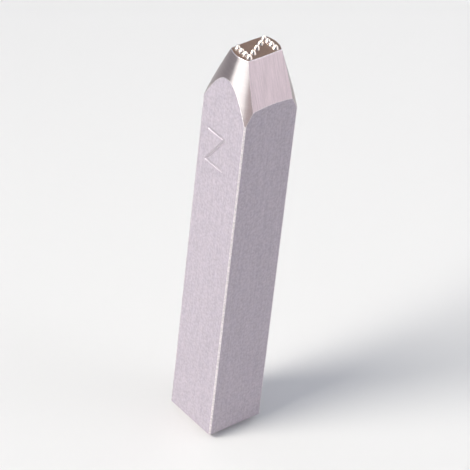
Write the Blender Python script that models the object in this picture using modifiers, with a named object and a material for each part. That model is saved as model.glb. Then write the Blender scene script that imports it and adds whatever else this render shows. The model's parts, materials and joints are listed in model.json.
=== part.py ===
"""A square steel letter punch with a dotted letter on its face.

The punch is one piece of square tool steel. One end is turned to a cone, which leaves a hyperbolic
arch on each side of the bar, and is then ground flat on two flanks, so that the face is a circle
cut off by two straight edges. The face carries a mirrored Z of raised, pointed dots. The bar
stands upright on its flat striking end, with the marked side and the letter's foot towards -Y and
the ground flanks towards +X and -X. Sizes are in metres.
"""

import math

import bmesh
import bpy
from mathutils import Matrix, Vector

NODE = "letter_punch"

# Bar
BAR_WIDTH = 0.0100
LENGTH = 0.0700
LONG_EDGE_RADIUS = 0.00025
LONG_EDGE_STEPS = 3
STRIKING_CHAMFER = 0.0010

# Character: its overall size, and how many dots its bars and its diagonal have
LETTER_WIDTH = 0.0038
LETTER_HEIGHT = 0.0060
BAR_DOTS = 4
DIAGONAL_DOTS = 5

# One dot: a pointed cone with a rounded tip, which runs on below the face as its root
DOT_WIDTH = 0.00110
DOT_HEIGHT = 0.00070
DOT_TIP = 0.00016
DOT_ROOT = 0.00010
DOT_SIDES = 24
DOT_TURN = math.radians(8.2)
TIP_ROUNDING = 0.8
TIP_STEPS = 2

# Turned nose: what it leaves round the corner dots, and the angle of its side to the axis
NOSE_MARGIN = 0.00038
NOSE_ANGLE = math.radians(19.0)
NOSE_STEPS = 120

# Ground flanks: what they leave beside the character, and how far they run down the bar
FLANK_MARGIN = 0.00025
FLANK_LENGTH = 0.0069

# Narrow chamfer round the face, measured along each of the two surfaces that meet there
RIM_BREAK = 0.00012

# How far a cutter reaches past what it cuts
OVERSHOOT = 0.0020

# The dots' centres span the character's size less one dot
COLUMN_SPAN = LETTER_WIDTH - DOT_WIDTH
ROW_SPAN = LETTER_HEIGHT - DOT_WIDTH
NOSE_RADIUS = math.hypot(COLUMN_SPAN, ROW_SPAN) / 2 + DOT_WIDTH / 2 + NOSE_MARGIN
FACE_WIDTH = LETTER_WIDTH + 2 * FLANK_MARGIN
FACE_HEIGHT = LENGTH - DOT_HEIGHT


def clear_scene():
    """Remove the objects that a new file starts with."""
    for old in list(bpy.data.objects):
        bpy.data.objects.remove(old, do_unlink=True)


def new_collection(name):
    """Add a collection to the scene."""
    collection = bpy.data.collections.new(name)
    bpy.context.scene.collection.children.link(collection)
    return collection


def move_to(obj, collection):
    """Keep an object in one collection only."""
    for other in list(obj.users_collection):
        other.objects.unlink(obj)
    collection.objects.link(obj)


def file_cutter(obj, cutters):
    """Put a cutter with the others, drawn as wire and left out of renders."""
    move_to(obj, cutters)
    obj.hide_render = True
    obj.display_type = "WIRE"


def combine(obj, other, operation):
    """Add an exact Boolean with another object."""
    boolean = obj.modifiers.new(f"{operation.title()} {other.name}", "BOOLEAN")
    boolean.operation = operation
    boolean.solver = "EXACT"
    boolean.object = other


def tool_steel():
    """Bright ground tool steel."""
    material = bpy.data.materials.new("ground_tool_steel")
    material.use_nodes = True
    shader = material.node_tree.nodes["Principled BSDF"]
    shader.inputs["Base Color"].default_value = (0.56, 0.53, 0.55, 1.0)
    shader.inputs["Metallic"].default_value = 1.0
    shader.inputs["Roughness"].default_value = 0.38
    return material


def is_long_edge(edge):
    """Tell the bar's four long edges from the rest."""
    start, end = (vert.co for vert in edge.verts)
    return abs(start.z - end.z) > LENGTH / 2


def is_striking_edge(edge):
    """Tell the four edges round the striking end from the rest."""
    return all(vert.co.z < LENGTH / 2 for vert in edge.verts)


def square_bar():
    """The blank: a square bar with a chamfered striking end and eased long edges."""
    bpy.ops.mesh.primitive_cube_add(size=1.0)
    bar = bpy.context.object
    bar.name = NODE
    place = Matrix.Translation((0.0, 0.0, FACE_HEIGHT / 2))
    bar.data.transform(place @ Matrix.Diagonal((BAR_WIDTH, BAR_WIDTH, FACE_HEIGHT, 1.0)))
    mesh = bmesh.new()
    mesh.from_mesh(bar.data)
    ring = [edge for edge in mesh.edges if is_striking_edge(edge)]
    bmesh.ops.bevel(mesh, geom=ring, offset=STRIKING_CHAMFER, segments=1, affect="EDGES")
    corners = [edge for edge in mesh.edges if is_long_edge(edge)]
    bmesh.ops.bevel(
        mesh,
        geom=corners,
        offset=LONG_EDGE_RADIUS,
        segments=LONG_EDGE_STEPS,
        profile=0.5,
        affect="EDGES",
    )
    mesh.to_mesh(bar.data)
    mesh.free()
    return bar


def turned_envelope(cutters):
    """What the lathe leaves of the bar: an eased rim, a cone and a cylinder clear of the bar."""
    clear_radius = BAR_WIDTH
    cone_height = (clear_radius - NOSE_RADIUS) / math.tan(NOSE_ANGLE)
    face_radius = NOSE_RADIUS - RIM_BREAK
    eased_radius = NOSE_RADIUS + RIM_BREAK * math.sin(NOSE_ANGLE)
    eased_height = FACE_HEIGHT - RIM_BREAK * math.cos(NOSE_ANGLE)
    rim_slope = (eased_radius - face_radius) / (FACE_HEIGHT - eased_height)
    above_face = FACE_HEIGHT + face_radius / 2 / rim_slope
    outline = [
        (0.0, above_face),
        (face_radius / 2, above_face),
        (eased_radius, eased_height),
        (clear_radius, FACE_HEIGHT - cone_height),
        (clear_radius, -OVERSHOOT),
        (0.0, -OVERSHOOT),
    ]
    points = [(radius, 0.0, height) for radius, height in outline]
    profile = bpy.data.meshes.new("turned_envelope")
    profile.from_pydata(points, [(i, i + 1) for i in range(len(points) - 1)], [])
    envelope = bpy.data.objects.new("turned_envelope", profile)
    screw = envelope.modifiers.new("Turn", "SCREW")
    screw.steps = NOSE_STEPS
    screw.render_steps = NOSE_STEPS
    screw.use_merge_vertices = True
    screw.merge_threshold = 0.000001
    file_cutter(envelope, cutters)
    return envelope


def grinding_cutter(name, side, upper, lower, cutters):
    """What a flat grind takes off one side: a block whose inner face joins two heights of it.

    The upper and the lower point are each a distance from the axis and a height.
    """
    lean = math.atan2(lower[0] - upper[0], upper[1] - lower[1])
    size = 3 * (FLANK_LENGTH + BAR_WIDTH)
    bpy.ops.mesh.primitive_cube_add(size=size)
    cutter = bpy.context.object
    cutter.name = f"{name}_{'right' if side > 0 else 'left'}"
    outwards = Vector((side * math.cos(lean), 0.0, math.sin(lean)))
    cutter.location = Vector((side * upper[0], 0.0, upper[1])) + outwards * size / 2
    cutter.rotation_euler = (0.0, -side * lean, 0.0)
    file_cutter(cutter, cutters)
    return cutter


def flank_cutters(side, cutters):
    """The flank itself, and the narrow chamfer where it meets the face."""
    rim = (FACE_WIDTH / 2, FACE_HEIGHT)
    shoulder = (BAR_WIDTH / 2, FACE_HEIGHT - FLANK_LENGTH)
    lean = math.atan2(shoulder[0] - rim[0], rim[1] - shoulder[1])
    on_face = (rim[0] - RIM_BREAK, rim[1])
    on_flank = (rim[0] + RIM_BREAK * math.sin(lean), rim[1] - RIM_BREAK * math.cos(lean))
    return [
        grinding_cutter("flank", side, rim, shoulder, cutters),
        grinding_cutter("flank_rim", side, on_face, on_flank, cutters),
    ]


def stroke(start, end, count):
    """Evenly spaced points from one end of a stroke to the other."""
    return [start.lerp(end, i / (count - 1)) for i in range(count)]


def dot_centres():
    """The dots' places on the face, mirrored so that the struck letter reads the right way."""
    left, right = -COLUMN_SPAN / 2, COLUMN_SPAN / 2
    foot, head = -ROW_SPAN / 2, ROW_SPAN / 2
    head_bar = stroke(Vector((left, head)), Vector((right, head)), BAR_DOTS)
    foot_bar = stroke(Vector((left, foot)), Vector((right, foot)), BAR_DOTS)
    diagonal = stroke(Vector((right, head)), Vector((left, foot)), DIAGONAL_DOTS)[1:-1]
    return [Vector((-point.x, point.y)) for point in head_bar + diagonal + foot_bar]


def dot_mesh():
    """One raised dot about its own foot: a cone with a rounded tip, run on down into a root."""
    spread = (DOT_WIDTH - DOT_TIP) / 2 / DOT_HEIGHT
    mesh = bmesh.new()
    bmesh.ops.create_cone(
        mesh,
        cap_ends=True,
        segments=DOT_SIDES,
        radius1=DOT_WIDTH / 2 + DOT_ROOT * spread,
        radius2=DOT_TIP / 2,
        depth=DOT_HEIGHT + DOT_ROOT,
        matrix=Matrix.Translation((0.0, 0.0, (DOT_HEIGHT - DOT_ROOT) / 2)),
    )
    tip = [edge for face in mesh.faces if face.normal.z > 0.99 for edge in face.edges]
    rounding = TIP_ROUNDING * DOT_TIP / 2
    bmesh.ops.bevel(mesh, geom=tip, offset=rounding, segments=TIP_STEPS, profile=0.5, affect="EDGES")
    data = bpy.data.meshes.new("dot")
    mesh.to_mesh(data)
    mesh.free()
    return data


def dotted_letter(cutters):
    """The character's dots, as objects that share one mesh."""
    shape = dot_mesh()
    dots = []
    for number, centre in enumerate(dot_centres(), start=1):
        dot = bpy.data.objects.new(f"dot_{number:02d}", shape)
        dot.location = (centre.x, centre.y, FACE_HEIGHT)
        dot.rotation_euler.z = number * DOT_TURN
        file_cutter(dot, cutters)
        dots.append(dot)
    return dots


def build():
    """Make the punch: the bar, its turned nose, its ground flanks and its letter."""
    clear_scene()
    parts = new_collection(NODE)
    cutters = new_collection("cutters")
    punch = square_bar()
    move_to(punch, parts)
    combine(punch, turned_envelope(cutters), "INTERSECT")
    for side in (1, -1):
        for cutter in flank_cutters(side, cutters):
            combine(punch, cutter, "DIFFERENCE")
    for dot in dotted_letter(cutters):
        combine(punch, dot, "UNION")
    punch.data.materials.append(tool_steel())


build()
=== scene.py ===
"""The steel letter punch, modelled finely and dressed for its photograph.

The punch is one square bar of tool steel that stands on its struck end. Its nose is turned to a
cone and ground on two sides, its face carries the mirrored letter Z in raised dots, and the same
letter is engraved on the marked side. Sizes are in metres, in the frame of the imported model.
"""

import json
import logging
import math
from collections.abc import Callable
from dataclasses import dataclass, field
from enum import Enum

import bmesh
import bpy
from mathutils import Matrix, Vector

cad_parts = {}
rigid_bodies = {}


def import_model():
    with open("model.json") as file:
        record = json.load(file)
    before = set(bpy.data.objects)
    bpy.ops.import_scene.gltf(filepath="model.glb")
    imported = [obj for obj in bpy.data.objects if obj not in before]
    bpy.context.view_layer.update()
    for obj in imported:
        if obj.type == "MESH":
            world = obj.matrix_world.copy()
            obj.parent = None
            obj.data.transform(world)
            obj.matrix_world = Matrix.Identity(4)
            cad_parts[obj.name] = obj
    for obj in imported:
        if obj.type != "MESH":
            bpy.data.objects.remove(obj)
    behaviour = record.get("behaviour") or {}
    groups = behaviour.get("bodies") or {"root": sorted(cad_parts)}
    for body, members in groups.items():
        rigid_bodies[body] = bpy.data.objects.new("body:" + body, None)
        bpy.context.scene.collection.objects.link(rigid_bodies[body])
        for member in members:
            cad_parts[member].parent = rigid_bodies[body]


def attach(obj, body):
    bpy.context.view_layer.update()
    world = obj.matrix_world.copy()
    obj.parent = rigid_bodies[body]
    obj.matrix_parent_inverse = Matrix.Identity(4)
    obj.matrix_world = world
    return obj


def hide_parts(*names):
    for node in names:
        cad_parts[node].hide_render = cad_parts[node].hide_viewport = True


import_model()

log = logging.getLogger("letter_punch")

MM = 0.001
# A length that counts as nothing
TINY = 0.000001
# How far one part of a face's normal may be from the one looked for
LEEWAY = 0.01
# The octaves of each noise, and the span that nearly all of its values are in
NOISE_DETAIL = 3.0
NOISE_SPAN = (0.3, 0.7)
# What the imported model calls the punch, its body and its steel
NODE = "letter_punch"
BODY = "root"


class Finish(Enum):
    """The punch's finishes, in the order of its material slots."""

    SIDE = 0
    FLANK = 1
    NOSE = 2
    FACE = 3
    DOT = 4
    EDGE = 5
    MARK = 6


def only(thing: bpy.types.Object) -> bpy.types.Object:
    """Select one object and nothing else, and make it active.

    Args:
        thing: The object to work on.

    Returns:
        The same object.
    """
    for other in bpy.context.view_layer.objects:
        other.select_set(False)
    thing.select_set(True)
    bpy.context.view_layer.objects.active = thing
    return thing


def added(name: str) -> bpy.types.Object:
    """Name the primitive just added and give its place, turn and size to its mesh.

    Args:
        name: The new object's name.

    Returns:
        The object, which now sits at the origin.
    """
    thing = only(bpy.context.object)
    thing.name = name
    thing.data.name = name
    bpy.ops.object.transform_apply(location=True, rotation=True, scale=True)
    return thing


def pick(thing: bpy.types.Object, elements: str, test: Callable[..., bool]) -> int:
    """Select the elements of a mesh in edit mode that pass a test, and no others.

    Args:
        thing: The object, which is in edit mode.
        elements: "verts", "edges" or "faces".
        test: Takes one element and tells whether it is wanted.

    Returns:
        How many were selected.
    """
    modes = {"verts": "VERT", "edges": "EDGE", "faces": "FACE"}
    bpy.ops.mesh.select_mode(type=modes[elements])
    bpy.ops.mesh.select_all(action="DESELECT")
    mesh = bmesh.from_edit_mesh(thing.data)
    wanted = [element for element in getattr(mesh, elements) if test(element)]
    for element in wanted:
        element.select_set(True)
    mesh.select_flush_mode()
    bmesh.update_edit_mesh(thing.data)
    return len(wanted)


def apply(thing: bpy.types.Object, kind: str, **settings: object) -> None:
    """Add a modifier and apply it.

    Args:
        thing: The object to change.
        kind: The modifier's type.
        settings: The modifier's properties by name.
    """
    only(thing)
    modifier = thing.modifiers.new(kind.title(), kind)
    for name, value in settings.items():
        setattr(modifier, name, value)
    bpy.ops.object.modifier_apply(modifier=modifier.name)


def combine(thing: bpy.types.Object, tool: bpy.types.Object, operation: str) -> None:
    """Cut, keep or join with another solid, which is then removed.

    Args:
        thing: The object to change.
        tool: The other solid.
        operation: "DIFFERENCE", "INTERSECT" or "UNION".
    """
    apply(thing, "BOOLEAN", operation=operation, solver="EXACT", object=tool)
    bpy.data.objects.remove(tool, do_unlink=True)


def grind(place: Vector, outwards: Vector) -> None:
    """Take off what lies beyond a plane, in edit mode, and close the cut.

    Args:
        place: A point of the plane.
        outwards: The plane's normal, towards what goes.
    """
    bpy.ops.mesh.select_all(action="SELECT")
    bpy.ops.mesh.bisect(
        plane_co=place, plane_no=outwards, use_fill=True, clear_outer=True, threshold=TINY / 10
    )


def turned(
    name: str, rings: list[tuple[float, float]], sides: int, turn: float = 0.0
) -> bpy.types.Object:
    """Make a solid of revolution from the bottom up, as extruded and resized rings.

    Args:
        name: The new object's name.
        rings: Each ring's radius and height, from the lowest.
        sides: How many sides each ring has.
        turn: The angle of one of its corners from the X axis.

    Returns:
        The solid.
    """
    radius, height = rings[0]
    bpy.ops.mesh.primitive_circle_add(
        vertices=sides,
        radius=radius,
        fill_type="NGON",
        location=(0.0, 0.0, height),
        rotation=(0.0, 0.0, turn - math.pi / 2),
    )
    thing = added(name)
    bpy.ops.object.mode_set(mode="EDIT")
    bpy.ops.mesh.select_all(action="SELECT")
    for next_radius, next_height in rings[1:]:
        rise = {"value": (0.0, 0.0, next_height - height)}
        bpy.ops.mesh.extrude_region_move(TRANSFORM_OT_translate=rise)
        scale = next_radius / radius
        centre = (0.0, 0.0, next_height)
        bpy.ops.transform.resize(value=(scale, scale, 1.0), center_override=centre)
        radius, height = next_radius, next_height
    bpy.ops.mesh.select_all(action="SELECT")
    bpy.ops.mesh.normals_make_consistent(inside=False)
    bpy.ops.object.mode_set(mode="OBJECT")
    return thing


@dataclass
class SquareBar:
    """The bar: square, with eased long edges and a chamfered end for the hammer."""

    width: float = 10.0 * MM
    face_height: float = 69.3 * MM
    edge_radius: float = 0.25 * MM
    edge_steps: int = 8
    end_chamfer: float = 1.0 * MM

    def is_long_edge(self, edge: bmesh.types.BMEdge) -> bool:
        """Tell the four long edges."""
        return edge.calc_length() > self.face_height / 2

    def build(self) -> bpy.types.Object:
        """Make the bar.

        Returns:
            The bar, with its end still square at the top.
        """
        size = (self.width, self.width, self.face_height)
        place = (0.0, 0.0, self.face_height / 2)
        bpy.ops.mesh.primitive_cube_add(size=1.0, location=place, scale=size)
        bar = added("letter_punch_fine")
        bpy.ops.object.mode_set(mode="EDIT")
        pick(bar, "edges", self.is_long_edge)
        bpy.ops.mesh.bevel(offset=self.edge_radius, segments=self.edge_steps, affect="EDGES")
        for x, y in ((1, 0), (0, 1), (-1, 0), (0, -1)):
            corner = Vector((x * self.width / 2, y * self.width / 2, self.end_chamfer))
            grind(corner, Vector((x, y, -1.0)))
        bpy.ops.object.mode_set(mode="OBJECT")
        return bar


@dataclass(frozen=True)
class Flat:
    """One straight stretch of a turned profile.

    It has a slope from upright, and a point given as a distance outwards from the sharp rim and a
    height above it.
    """

    slope: float
    out: float
    up: float

    def crossing(self, upper: "Flat") -> tuple[float, float]:
        """Find where the next stretch meets this one.

        Args:
            upper: The stretch above, which is less steep.

        Returns:
            The meeting point's distance outwards from the sharp rim and height above it.
        """
        across = (self.out - upper.out) * math.cos(upper.slope)
        down = (self.up - upper.up) * math.sin(upper.slope)
        along = (across + down) / math.sin(upper.slope - self.slope)
        return self.out + along * math.sin(self.slope), self.up - along * math.cos(self.slope)


@dataclass
class TurnedNose:
    """The cone that the lathe leaves, with the two flanks that are ground on it.

    A flank is slightly crowned, as part of a much larger cone, so that it ends in a shallow arch
    on the side of the bar. The turn keeps the corners of the cone's many sides off the corners
    of the bar and the face.
    """

    face_radius: float = 3.727 * MM
    angle: float = math.radians(19.0)
    clear_radius: float = 10.0 * MM
    sides: int = 230
    turn: float = math.radians(54.783)
    face_width: float = 4.3 * MM
    flank_length: float = 6.9 * MM
    crown_radius: float = 46.0 * MM
    crown_sides: int = 360
    rim_radius: float = 0.12 * MM
    rim_steps: int = 6
    overshoot: float = 2.0 * MM

    def lean(self, bar: SquareBar) -> float:
        """Work out the flanks' lean, in radians from upright."""
        return math.atan2((bar.width - self.face_width) / 2, self.flank_length)

    def profile(self, lean: float) -> list[Flat]:
        """Follow a side that leans up to its rounded rim.

        Args:
            lean: The side's angle from upright.

        Returns:
            The side, and the flats that stand for the rounding above it.
        """
        corner = self.rim_radius * math.tan((math.pi / 2 - lean) / 2)
        flats = [Flat(lean, 0.0, 0.0)]
        for step in range(1, self.rim_steps):
            slope = lean + (math.pi / 2 - lean) * step / self.rim_steps
            out = -corner + self.rim_radius * math.cos(slope)
            up = -self.rim_radius + self.rim_radius * math.sin(slope)
            flats.append(Flat(slope, out, up))
        return flats

    def envelope(
        self, name: str, bar: SquareBar, radius: float, angle: float, sides: int, turn: float
    ) -> bpy.types.Object:
        """Turn what a cone leaves: a cylinder clear of the bar, the cone and its rounded rim.

        Args:
            name: The solid's name.
            bar: The bar's sizes.
            radius: The cone's radius at the face, before its rim is rounded.
            angle: The angle of its side from upright.
            sides: How many sides it has.
            turn: The angle of one of its corners from the X axis.

        Returns:
            The solid.
        """
        clear = radius + self.clear_radius - self.face_radius
        rise = (clear - radius) / math.tan(angle)
        rings = [(clear, -self.overshoot), (clear, bar.face_height - rise)]
        flats = self.profile(angle)
        for lower, upper in zip(flats, flats[1:]):
            out, up = lower.crossing(upper)
            rings.append((radius + out, bar.face_height + up))
        last, top = flats[-1], radius / 2
        above = last.up + (radius + last.out - top) / math.tan(last.slope)
        rings.append((top, bar.face_height + above))
        return turned(name, rings, sides, turn)

    def shape(self, thing: bpy.types.Object, bar: SquareBar) -> None:
        """Turn the end of the bar to its cone and grind the two flanks.

        Args:
            thing: The bar's object.
            bar: The bar's sizes.
        """
        cone = self.envelope(
            "lathe_envelope", bar, self.face_radius, self.angle, self.sides, self.turn
        )
        combine(thing, cone, "INTERSECT")
        lean = self.lean(bar)
        for side in (1, -1):
            flank = self.envelope(
                "flank_envelope", bar, self.crown_radius, lean, self.crown_sides, 0.0
            )
            across = side * (self.face_width / 2 - self.crown_radius)
            flank.data.transform(Matrix.Translation((across, 0.0, 0.0)))
            combine(thing, flank, "INTERSECT")


@dataclass
class BrokenEdges:
    """The narrow breaks on the arches, the flanks' sides and shoulders and the struck end.

    Each span is the lowest and highest point of a stretch of the bar whose sharp edges are broken.
    Sharp edges under the shortest are closed up first, and points nearer than the merge after it.
    """

    width: float = 0.030 * MM
    steps: int = 2
    sharp_angle: float = math.radians(14.0)
    shortest: float = 0.012 * MM
    merge: float = 0.002 * MM

    def is_sharp(self, edge: bmesh.types.BMEdge, spans: list[tuple[float, float]]) -> bool:
        """Tell a sharp edge of the bar or nose.

        Args:
            edge: One edge of the punch.
            spans: The stretches of the bar that have sharp edges.

        Returns:
            Whether the edge is to be broken.
        """
        low, high = sorted(vert.co.z for vert in edge.verts)
        if not any(start <= low and high <= end for start, end in spans):
            return False
        upright = all(abs(face.normal.z) < LEEWAY for face in edge.link_faces)
        return not upright and edge.calc_face_angle() > self.sharp_angle

    def shape(self, thing: bpy.types.Object, spans: list[tuple[float, float]]) -> None:
        """Break the edges.

        Args:
            thing: The punch so far.
            spans: The stretches of the bar that have sharp edges.
        """
        top = max(end for start, end in spans)
        only(thing)
        bpy.ops.object.mode_set(mode="EDIT")
        pick(thing, "edges", lambda edge: self.is_sharp(edge, spans))
        bpy.ops.mesh.remove_doubles(threshold=self.shortest)
        pick(thing, "edges", lambda edge: self.is_sharp(edge, spans))
        bpy.ops.mesh.bevel(offset=self.width, segments=self.steps, affect="EDGES")
        pick(thing, "verts", lambda vert: vert.co.z < top)
        bpy.ops.mesh.remove_doubles(threshold=self.merge)
        bpy.ops.mesh.dissolve_degenerate(threshold=self.merge / 2)
        bpy.ops.mesh.delete_loose()
        bpy.ops.object.mode_set(mode="OBJECT")


@dataclass
class DottedLetter:
    """The raised character on the face: eleven pointed dots that strike a Z.

    The rings are a dot's profile, each a radius and a height above the face, from its root up.
    """

    column_span: float = 2.7 * MM
    row_span: float = 4.9 * MM
    bar_dots: int = 4
    diagonal_dots: int = 5
    sides: int = 40
    turn: float = math.radians(8.2)
    rings: list[tuple[float, float]] = field(
        default_factory=lambda: [
            (0.585 * MM, -0.05 * MM),
            (0.549 * MM, 0.02 * MM),
            (0.535 * MM, 0.04 * MM),
            (0.488 * MM, 0.14 * MM),
            (0.431 * MM, 0.24 * MM),
            (0.369 * MM, 0.33 * MM),
            (0.297 * MM, 0.42 * MM),
            (0.211 * MM, 0.52 * MM),
            (0.115 * MM, 0.62 * MM),
            (0.085 * MM, 0.65 * MM),
            (0.055 * MM, 0.675 * MM),
            (0.028 * MM, 0.692 * MM),
            (0.010 * MM, 0.70 * MM),
        ]
    )

    def centres(self) -> list[Vector]:
        """Place the dots, mirrored so that the struck letter reads the right way.

        Returns:
            The dots' centres on the face.
        """
        left, right = -self.column_span / 2, self.column_span / 2
        foot, head = -self.row_span / 2, self.row_span / 2
        strokes = [
            (Vector((left, head)), Vector((right, head)), self.bar_dots, slice(None)),
            (Vector((right, head)), Vector((left, foot)), self.diagonal_dots, slice(1, -1)),
            (Vector((left, foot)), Vector((right, foot)), self.bar_dots, slice(None)),
        ]
        points = []
        for start, end, count, part in strokes:
            points += [start.lerp(end, i / (count - 1)) for i in range(count)][part]
        return [Vector((-point.x, point.y)) for point in points]

    def shape(self, thing: bpy.types.Object, bar: SquareBar) -> None:
        """Model one dot, and join a copy of it to the face at each place.

        Args:
            thing: The punch so far.
            bar: The bar's sizes.
        """
        master = turned("dot", self.rings, self.sides)
        for number, centre in enumerate(self.centres(), start=1):
            copy = master.copy()
            copy.data = master.data.copy()
            bpy.context.scene.collection.objects.link(copy)
            place = Matrix.Translation((centre.x, centre.y, bar.face_height))
            copy.data.transform(place @ Matrix.Rotation(number * self.turn, 4, "Z"))
            combine(thing, copy, "UNION")
        bpy.data.objects.remove(master, do_unlink=True)


@dataclass
class SideMark:
    """The letter engraved on the marked side with a round-nosed point.

    The diagonal is cut with a point that is a lift smaller, so that no two strokes share a surface
    where they meet.
    """

    left: float = -2.85 * MM
    right: float = 0.85 * MM
    foot: float = 49.5 * MM
    head: float = 55.1 * MM
    point_radius: float = 0.40 * MM
    point_sides: int = 44
    depth: float = 0.11 * MM
    lift: float = 0.008 * MM

    def shape(self, thing: bpy.types.Object, bar: SquareBar) -> None:
        """Cut the three strokes, each as the point drawn out to the stroke's length.

        Args:
            thing: The punch so far.
            bar: The bar's sizes.
        """
        corners = [
            Vector((self.left, 0.0, self.head)),
            Vector((self.right, 0.0, self.head)),
            Vector((self.left, 0.0, self.foot)),
            Vector((self.right, 0.0, self.foot)),
        ]
        middle = -bar.width / 2 - self.point_radius + self.depth
        strokes = zip(corners, corners[1:], (0.0, self.lift, 0.0))
        for start, end, lift in strokes:
            bpy.ops.mesh.primitive_uv_sphere_add(
                segments=self.point_sides,
                ring_count=self.point_sides // 2,
                radius=self.point_radius - lift,
            )
            groove = added("groove")
            run = end - start
            bpy.ops.object.mode_set(mode="EDIT")
            pick(groove, "verts", lambda vert: vert.co.z > TINY)
            bpy.ops.transform.translate(value=(0.0, 0.0, run.length))
            bpy.ops.object.mode_set(mode="OBJECT")
            aim = Vector((0.0, 0.0, 1.0)).rotation_difference(run).to_matrix().to_4x4()
            shift = Vector((start.x, middle, start.z))
            groove.data.transform(Matrix.Translation(shift) @ aim)
            combine(thing, groove, "DIFFERENCE")


def linear(colour: str) -> tuple[float, float, float, float]:
    """Turn an sRGB hex colour to linear, by the standard curve with its straight foot.

    Args:
        colour: Six hex digits after a hash sign.

    Returns:
        Linear red, green and blue, and an alpha of one.
    """
    shares = [int(colour[i : i + 2], 16) / 255 for i in (1, 3, 5)]
    red, green, blue = (s / 12.92 if s <= 0.04045 else ((s + 0.055) / 1.055) ** 2.4 for s in shares)
    return (red, green, blue, 1.0)


def add(tree: bpy.types.NodeTree, kind: str, links: dict, **settings: object) -> bpy.types.Node:
    """Add one node.

    Args:
        tree: The node tree.
        kind: The node's type.
        links: For each input by name or number, the output that feeds it or its own value.
        settings: The node's properties by name.

    Returns:
        The node.
    """
    node = tree.nodes.new(kind)
    for name, value in settings.items():
        setattr(node, name, value)
    for socket, value in links.items():
        if isinstance(value, bpy.types.NodeSocket):
            tree.links.new(value, node.inputs[socket])
        else:
            node.inputs[socket].default_value = value
    return node


@dataclass(frozen=True)
class Grain:
    """One pattern of marks on steel.

    Its size is in millimetres along X, Y and Z, so that a long size draws the marks as lines. The
    shade is how far they lighten or darken the colour, and the depth is their relief, also in
    millimetres.
    """

    size: tuple[float, float, float]
    shade: float
    depth: float

    def noise(self, tree: bpy.types.NodeTree, place: bpy.types.NodeSocket) -> bpy.types.NodeSocket:
        """Draw the marks.

        Args:
            tree: The material's node tree.
            place: The object coordinates.

        Returns:
            The marks' height, from 0 to 1 about a half.
        """
        scale = tuple(1.0 / (share * MM) for share in self.size)
        scaled = add(tree, "ShaderNodeMapping", {"Vector": place, "Scale": scale})
        marks = {"Vector": scaled.outputs["Vector"], "Scale": 1.0, "Detail": NOISE_DETAIL}
        return add(tree, "ShaderNodeTexNoise", marks).outputs["Fac"]


@dataclass(frozen=True)
class Steel:
    """One finish of the punch's tool steel.

    Its colour drifts to its tint in soft clouds, whose size is in millimetres, and its roughness
    varies by the unevenness with the speckle.
    """

    name: str
    colour: str
    tint: str
    roughness: float
    unevenness: float
    speckle: Grain
    lines: Grain
    clouds: float = 1.2
    metallic: float = 1.0

    def shade(
        self, tree: bpy.types.NodeTree, speckle: bpy.types.NodeSocket, lines: bpy.types.NodeSocket
    ) -> bpy.types.NodeSocket:
        """Work out how the marks lighten and darken the colour.

        Args:
            tree: The material's node tree.
            speckle: The speckle's height.
            lines: The lines' height.

        Returns:
            A factor about one.
        """
        level: bpy.types.NodeSocket | float = 1.0 - (self.speckle.shade + self.lines.shade)
        for marks, strength in ((speckle, self.speckle.shade), (lines, self.lines.shade)):
            links = {0: marks, 1: 2.0 * strength, 2: level}
            level = add(tree, "ShaderNodeMath", links, operation="MULTIPLY_ADD").outputs[0]
        return level

    def relief(
        self, tree: bpy.types.NodeTree, speckle: bpy.types.NodeSocket, lines: bpy.types.NodeSocket
    ) -> bpy.types.NodeSocket:
        """Give the marks their relief, the lines on top of the speckle.

        Args:
            tree: The material's node tree.
            speckle: The speckle's height.
            lines: The lines' height.

        Returns:
            The normal.
        """
        links = {"Height": speckle, "Distance": self.speckle.depth * MM, "Strength": 1.0}
        fine = add(tree, "ShaderNodeBump", links).outputs["Normal"]
        links.update({"Height": lines, "Distance": self.lines.depth * MM, "Normal": fine})
        return add(tree, "ShaderNodeBump", links).outputs["Normal"]

    def material(self) -> bpy.types.Material:
        """Make the finish.

        Returns:
            The material.
        """
        made = bpy.data.materials.new(self.name)
        made.use_nodes = True
        tree = made.node_tree
        shader = tree.nodes["Principled BSDF"]
        place = add(tree, "ShaderNodeTexCoord", {}).outputs["Object"]
        speckle = self.speckle.noise(tree, place)
        lines = self.lines.noise(tree, place)
        clouds = Grain(size=(self.clouds,) * 3, shade=0.0, depth=0.0).noise(tree, place)
        # Inputs 0, 6 and 7 of the mix are its factor and its two colours
        colours = {0: clouds, 6: linear(self.colour), 7: linear(self.tint)}
        steel = add(tree, "ShaderNodeMix", colours, data_type="RGBA")
        level = self.shade(tree, speckle, lines)
        shaded = add(tree, "ShaderNodeHueSaturation", {"Color": steel.outputs[2], "Value": level})
        tree.links.new(shaded.outputs["Color"], shader.inputs["Base Color"])
        gloss = add(
            tree,
            "ShaderNodeMapRange",
            {
                "Value": speckle,
                "From Min": NOISE_SPAN[0],
                "From Max": NOISE_SPAN[1],
                "To Min": self.roughness - self.unevenness,
                "To Max": self.roughness + self.unevenness,
            },
        )
        tree.links.new(gloss.outputs["Result"], shader.inputs["Roughness"])
        tree.links.new(self.relief(tree, speckle, lines), shader.inputs["Normal"])
        shader.inputs["Metallic"].default_value = self.metallic
        return made


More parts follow.
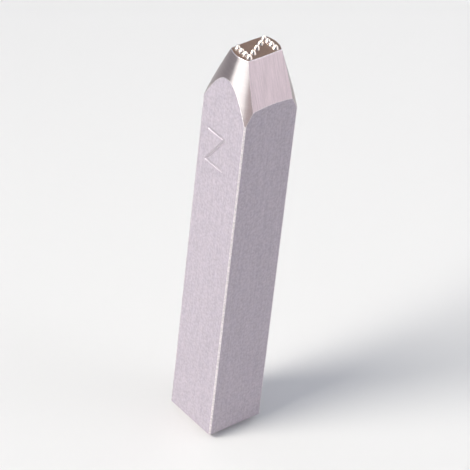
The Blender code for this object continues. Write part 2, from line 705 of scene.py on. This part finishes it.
FINISHES = {
    # Tool steel, drawn to a square and grit blasted on its four sides. The blasting scatters the
    # light, so the eye gets an even, slightly mauve grey with a satin sheen and no clear
    # reflection. Part of it is therefore given to the matt layer. The grit's pits are about
    # 0.1 mm, and the speckle is drawn at 0.34 mm so that it shows. The long lines are what is
    # left of the drawing.
    Finish.SIDE: Steel(
        "satin_blasted_tool_steel",
        colour="#B3A9B1",
        tint="#ABA3AF",
        roughness=0.48,
        unevenness=0.08,
        speckle=Grain(size=(0.34, 0.34, 0.38), shade=0.36, depth=0.016),
        lines=Grain(size=(0.24, 0.24, 9.0), shade=0.14, depth=0.006),
        metallic=0.40,
    ),
    # Tool steel, ground on a wheel that runs up and down the flank. It gives the eye a bright,
    # silky surface whose straight upright lines stretch every reflection. The wheel's lines are
    # about 0.05 mm apart, and they are drawn at 0.17 mm so that they show.
    Finish.FLANK: Steel(
        "ground_tool_steel",
        colour="#DCCBCE",
        tint="#D5C4C9",
        roughness=0.36,
        unevenness=0.05,
        speckle=Grain(size=(0.22, 0.22, 0.30), shade=0.08, depth=0.006),
        lines=Grain(size=(1.2, 0.17, 12.0), shade=0.24, depth=0.014),
    ),
    # Tool steel, turned on a lathe. It gives the eye the clearest reflection on the punch: white
    # and dark bands that run down the cone, crossed by fine rings. The tool's feed is about
    # 0.08 mm a turn, and the rings are drawn at 0.13 mm so that they show.
    Finish.NOSE: Steel(
        "turned_tool_steel",
        colour="#A99E9F",
        tint="#A09495",
        roughness=0.29,
        unevenness=0.015,
        speckle=Grain(size=(0.12, 0.12, 0.12), shade=0.05, depth=0.0008),
        lines=Grain(size=(6.0, 6.0, 0.13), shade=0.10, depth=0.0030),
    ),
    # Tool steel, milled away between the dots and tempered. Its dull, warm brown is partly the
    # thin oxide and partly painted shade, darker than the oxide alone, for the shade that falls
    # between the dots. It sets off the bright dots, with brown clouds and the mill's lines, which
    # are drawn at 0.18 mm so that they show.
    Finish.FACE: Steel(
        "tempered_steel_with_painted_shade",
        # Painted shade: this brown is darker than the oxide, for the shade between the dots
        colour="#A68D7D",
        tint="#957C6E",
        roughness=0.38,
        unevenness=0.05,
        speckle=Grain(size=(0.20, 0.20, 0.20), shade=0.20, depth=0.008),
        lines=Grain(size=(4.0, 0.18, 4.0), shade=0.08, depth=0.004),
        metallic=0.6,
    ),
    # Tool steel, cut to points and polished by striking. It gives the eye small, hard highlights
    # on a warm, nearly white metal, with faint rings from the cutter.
    Finish.DOT: Steel(
        "cut_tool_steel",
        colour="#E6DCD4",
        tint="#DACEC6",
        roughness=0.22,
        unevenness=0.04,
        speckle=Grain(size=(0.14, 0.14, 0.14), shade=0.08, depth=0.004),
        lines=Grain(size=(3.0, 3.0, 0.10), shade=0.05, depth=0.003),
    ),
    # Tool steel, worn smooth where the punch is held and guided. Its pale colour is a painted
    # highlight as well as wear: it draws a thin pale line along each edge under any lamp.
    Finish.EDGE: Steel(
        "worn_steel_and_painted_edge_highlight",
        # Painted highlight: far paler than the side, for the gleam along the edges
        colour="#EFE8EA",
        tint="#E6DDE0",
        roughness=0.26,
        unevenness=0.05,
        speckle=Grain(size=(0.25, 0.25, 0.25), shade=0.08, depth=0.003),
        lines=Grain(size=(0.4, 0.4, 2.0), shade=0.10, depth=0.002),
    ),
    # Tool steel, pressed smooth in the strokes of the mark. It gives the eye one light flank and
    # one grey flank in each stroke, clearer than the blasted side round them.
    Finish.MARK: Steel(
        "stamped_tool_steel",
        colour="#C9C0C8",
        tint="#BDB4BC",
        roughness=0.38,
        unevenness=0.05,
        speckle=Grain(size=(0.14, 0.14, 0.14), shade=0.10, depth=0.004),
        lines=Grain(size=(0.4, 0.4, 3.0), shade=0.05, depth=0.002),
        metallic=0.90,
    ),
}


@dataclass
class LetterPunch:
    """The whole punch: its bar, nose, edges, letter and mark.

    A face is flat on one axis where that part of its normal is over the flat match. The breaks
    keep the mark's margin off the mark and stop some rim radii under the face. Edges under the
    smooth angle are shaded as curves.
    """

    bar: SquareBar = field(default_factory=SquareBar)
    nose: TurnedNose = field(default_factory=TurnedNose)
    edges: BrokenEdges = field(default_factory=BrokenEdges)
    letter: DottedLetter = field(default_factory=DottedLetter)
    mark: SideMark = field(default_factory=SideMark)
    flat_match: float = 0.9995
    mark_margin: float = 1.0 * MM
    rim_clear: float = 1.5
    smooth_angle: float = math.radians(26.0)
    enlarged: float = 1024.0

    def finish_of(self, face: bmesh.types.BMFace) -> Finish:
        """Tell which finish a face has, by its place and the way it faces.

        Args:
            face: One face of the punch.

        Returns:
            Its finish.
        """
        centre, normal = face.calc_center_median(), face.normal
        top = self.bar.face_height
        half = self.bar.width / 2
        if centre.z > top + TINY:
            return Finish.DOT
        if normal.z > self.flat_match and centre.z > top - TINY:
            return Finish.FACE
        lean, angle = self.nose.lean(self.bar), self.nose.angle
        sideways = math.cos(2 * lean)
        if abs(normal.x) > sideways and abs(normal.z - math.sin(lean)) < LEEWAY:
            return Finish.FLANK
        corner = top - (half * math.sqrt(2) - self.nose.face_radius) / math.tan(angle)
        if centre.z > corner and abs(normal.z - math.sin(angle)) < LEEWAY:
            return Finish.NOSE
        if max(abs(normal.x), abs(normal.y)) > self.flat_match or centre.z < half:
            return Finish.SIDE
        mark, margin = self.mark, self.mark_margin
        high_enough = mark.foot - margin < centre.z < mark.head + margin
        if high_enough and mark.left - margin < centre.x < mark.right + margin:
            return Finish.MARK
        return Finish.EDGE

    def dress(self, thing: bpy.types.Object) -> None:
        """Give every face its finish.

        Args:
            thing: The punch.
        """
        only(thing)
        for finish in Finish:
            thing.data.materials.append(FINISHES[finish].material())
        bpy.ops.object.mode_set(mode="EDIT")
        for finish in Finish:
            count = pick(thing, "faces", lambda face: self.finish_of(face) is finish)
            thing.active_material_index = finish.value
            bpy.ops.object.material_slot_assign()
            log.info("%s: %d faces", FINISHES[finish].name, count)
        bpy.ops.object.mode_set(mode="OBJECT")

    def build(self) -> bpy.types.Object:
        """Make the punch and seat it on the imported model.

        Returns:
            The finished piece.
        """
        thing = self.bar.build()
        self.nose.shape(thing, self.bar)
        self.letter.shape(thing, self.bar)
        self.mark.shape(thing, self.bar)
        below, above = self.mark.foot - self.mark_margin, self.mark.head + self.mark_margin
        rim = self.bar.face_height - self.rim_clear * self.nose.rim_radius
        self.edges.shape(thing, [(-TINY, below), (above, rim)])
        self.dress(thing)
        only(thing)
        bpy.ops.object.shade_smooth_by_angle(angle=self.smooth_angle)
        # The modifier passes over faces of a few square millimetres, so the mesh is enlarged for
        # it, by a power of two that brings every coordinate back as it was.
        thing.data.transform(Matrix.Scale(self.enlarged, 4))
        apply(thing, "WEIGHTED_NORMAL", keep_sharp=True)
        thing.data.transform(Matrix.Scale(1.0 / self.enlarged, 4))
        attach(thing, BODY)
        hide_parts(NODE)
        return thing


@dataclass
class Softbox:
    """A soft rectangular lamp that faces the punch.

    Its azimuth is 0 in front of the marked side and 90 degrees to the right of it. The angles are
    in degrees, and the size is its width and height.
    """

    name: str
    azimuth: float
    elevation: float
    size: tuple[float, float]
    watts: float
    distance: float = 0.90
    spread: float = 180.0
    colour: str = "#FFFFFF"
    aim: tuple[float, float, float] = (0.0, 0.0, 0.055)

    def build(self) -> bpy.types.Object:
        """Make the lamp.

        Returns:
            The lamp's object.
        """
        data = bpy.data.lights.new(self.name, "AREA")
        data.shape = "RECTANGLE"
        data.size, data.size_y = self.size
        data.energy = self.watts
        data.color = linear(self.colour)[:3]
        data.spread = math.radians(self.spread)
        lamp = bpy.data.objects.new(self.name, data)
        bpy.context.scene.collection.objects.link(lamp)
        lamp.visible_camera = False
        turn, rise = math.radians(self.azimuth), math.radians(self.elevation)
        level = math.cos(rise)
        way = Vector((math.sin(turn) * level, -math.cos(turn) * level, math.sin(rise)))
        lamp.location = Vector(self.aim) + way * self.distance
        lamp.rotation_euler = way.to_track_quat("Z", "Y").to_euler()
        return lamp


@dataclass
class Studio:
    """A pale floor, a plain room and soft lamps round the punch.

    The key lamp lights the marked side and throws the shadow. The front lamp is the white band on
    the cone, the fill lamp the grey stripe beside it, and the left lamp a sheen on its left. The
    side lamp is what the right flank reflects, the rim lamp lifts the right side, and the back
    lamp lights the back. The room brightens from the top of its walls to the edge of its ceiling,
    both given as the upward part of the way one looks.
    """

    floor_size: float = 1.2
    floor_colour: str = "#DBDBDA"
    floor_roughness: float = 0.9
    wall_colour: str = "#E9EEFF"
    wall_strength: float = 0.32
    wall_top: float = 0.50
    ceiling_strength: float = 0.55
    ceiling_edge: float = 1.0
    lamps: tuple[Softbox, ...] = (
        Softbox(
            "key",
            azimuth=-12.0,
            elevation=36.0,
            size=(0.44, 0.38),
            watts=0.88,
            spread=42.0,
            colour="#FFFBF3",
            aim=(0.0, 0.0, 0.08),
        ),
        Softbox(
            "front",
            azimuth=6.0,
            elevation=-0.5,
            size=(0.82, 0.19),
            watts=2.6,
            distance=0.75,
            colour="#F5FFFA",
        ),
        Softbox("left", azimuth=-58.0, elevation=21.0, size=(1.0, 0.32), watts=0.9),
        Softbox("side", azimuth=138.0, elevation=16.0, size=(1.08, 0.46), watts=1.85),
        Softbox("back", azimuth=186.0, elevation=18.0, size=(0.60, 0.36), watts=1.7),
        Softbox(
            "fill",
            azimuth=54.0,
            elevation=4.0,
            size=(0.62, 0.12),
            watts=0.42,
            colour="#FFF1E9",
        ),
        Softbox("rim", azimuth=133.0, elevation=38.0, size=(0.50, 0.12), watts=0.8),
    )

    def lay_floor(self) -> bpy.types.Object:
        """Lay the floor.

        Returns:
            The floor.
        """
        bpy.ops.mesh.primitive_grid_add(x_subdivisions=2, y_subdivisions=2, size=self.floor_size)
        floor = added("floor")
        # Matt paper. It gives the eye an even pale grey with no sheen that keeps the shadow.
        paper = bpy.data.materials.new("matt_paper")
        paper.use_nodes = True
        shader = paper.node_tree.nodes["Principled BSDF"]
        shader.inputs["Base Color"].default_value = linear(self.floor_colour)
        shader.inputs["Roughness"].default_value = self.floor_roughness
        floor.data.materials.append(paper)
        return floor

    def light_room(self) -> None:
        """Give the room plain walls and a lighter ceiling."""
        room = bpy.data.worlds.new("room")
        room.use_nodes = True
        tree = room.node_tree
        way = add(tree, "ShaderNodeTexCoord", {}).outputs["Generated"]
        height = add(tree, "ShaderNodeSeparateXYZ", {"Vector": way}).outputs["Z"]
        level = add(
            tree,
            "ShaderNodeMapRange",
            {
                "Value": height,
                "From Min": self.wall_top,
                "From Max": self.ceiling_edge,
                "To Min": self.wall_strength,
                "To Max": self.ceiling_strength,
            },
            interpolation_type="SMOOTHSTEP",
        )
        tree.links.new(level.outputs["Result"], tree.nodes["Background"].inputs["Strength"])
        tree.nodes["Background"].inputs["Color"].default_value = linear(self.wall_colour)
        bpy.context.scene.world = room

    def build(self) -> None:
        """Lay the floor, light the room and set the lamps."""
        floor = self.lay_floor()
        log.info("%s: %g m square", floor.name, self.floor_size)
        self.light_room()
        for lamp in self.lamps:
            lamp.build()
            log.info("lamp %s: %g W", lamp.name, lamp.watts)


@dataclass
class Viewpoint:
    """The photograph's camera, turned to take in the whole punch.

    The lens and the sensor's width are in millimetres.
    """

    place: tuple[float, float, float] = (0.3289, -0.2962, 0.3682)
    aim: tuple[float, float, float] = (0.0, 0.0, 0.0350)
    roll: float = math.radians(6.6)
    lens: float = 280.0
    sensor: float = 36.0
    nearest: float = 0.01

    def build(self) -> bpy.types.Object:
        """Make the camera.

        Returns:
            The camera's object.
        """
        data = bpy.data.cameras.new("camera")
        data.sensor_width = self.sensor
        data.lens = self.lens
        data.clip_start = self.nearest
        camera = bpy.data.objects.new("camera", data)
        bpy.context.scene.collection.objects.link(camera)
        towards = Vector(self.aim) - Vector(self.place)
        turn = towards.to_track_quat("-Z", "Y").to_matrix().to_4x4()
        roll = Matrix.Rotation(self.roll, 4, "Z")
        camera.matrix_world = Matrix.Translation(self.place) @ turn @ roll
        bpy.context.scene.camera = camera
        return camera


def main() -> None:
    """Build the punch, the studio and the camera."""
    logging.basicConfig(level=logging.INFO, format="%(name)s: %(message)s")
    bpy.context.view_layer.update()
    punch = LetterPunch().build()
    log.info("%s: %d faces", punch.name, len(punch.data.polygons))
    Studio().build()
    camera = Viewpoint().build()
    log.info("%s: %g mm", camera.name, camera.data.lens)
    bpy.context.scene.view_settings.view_transform = "Standard"


if __name__ == "__main__":
    main()
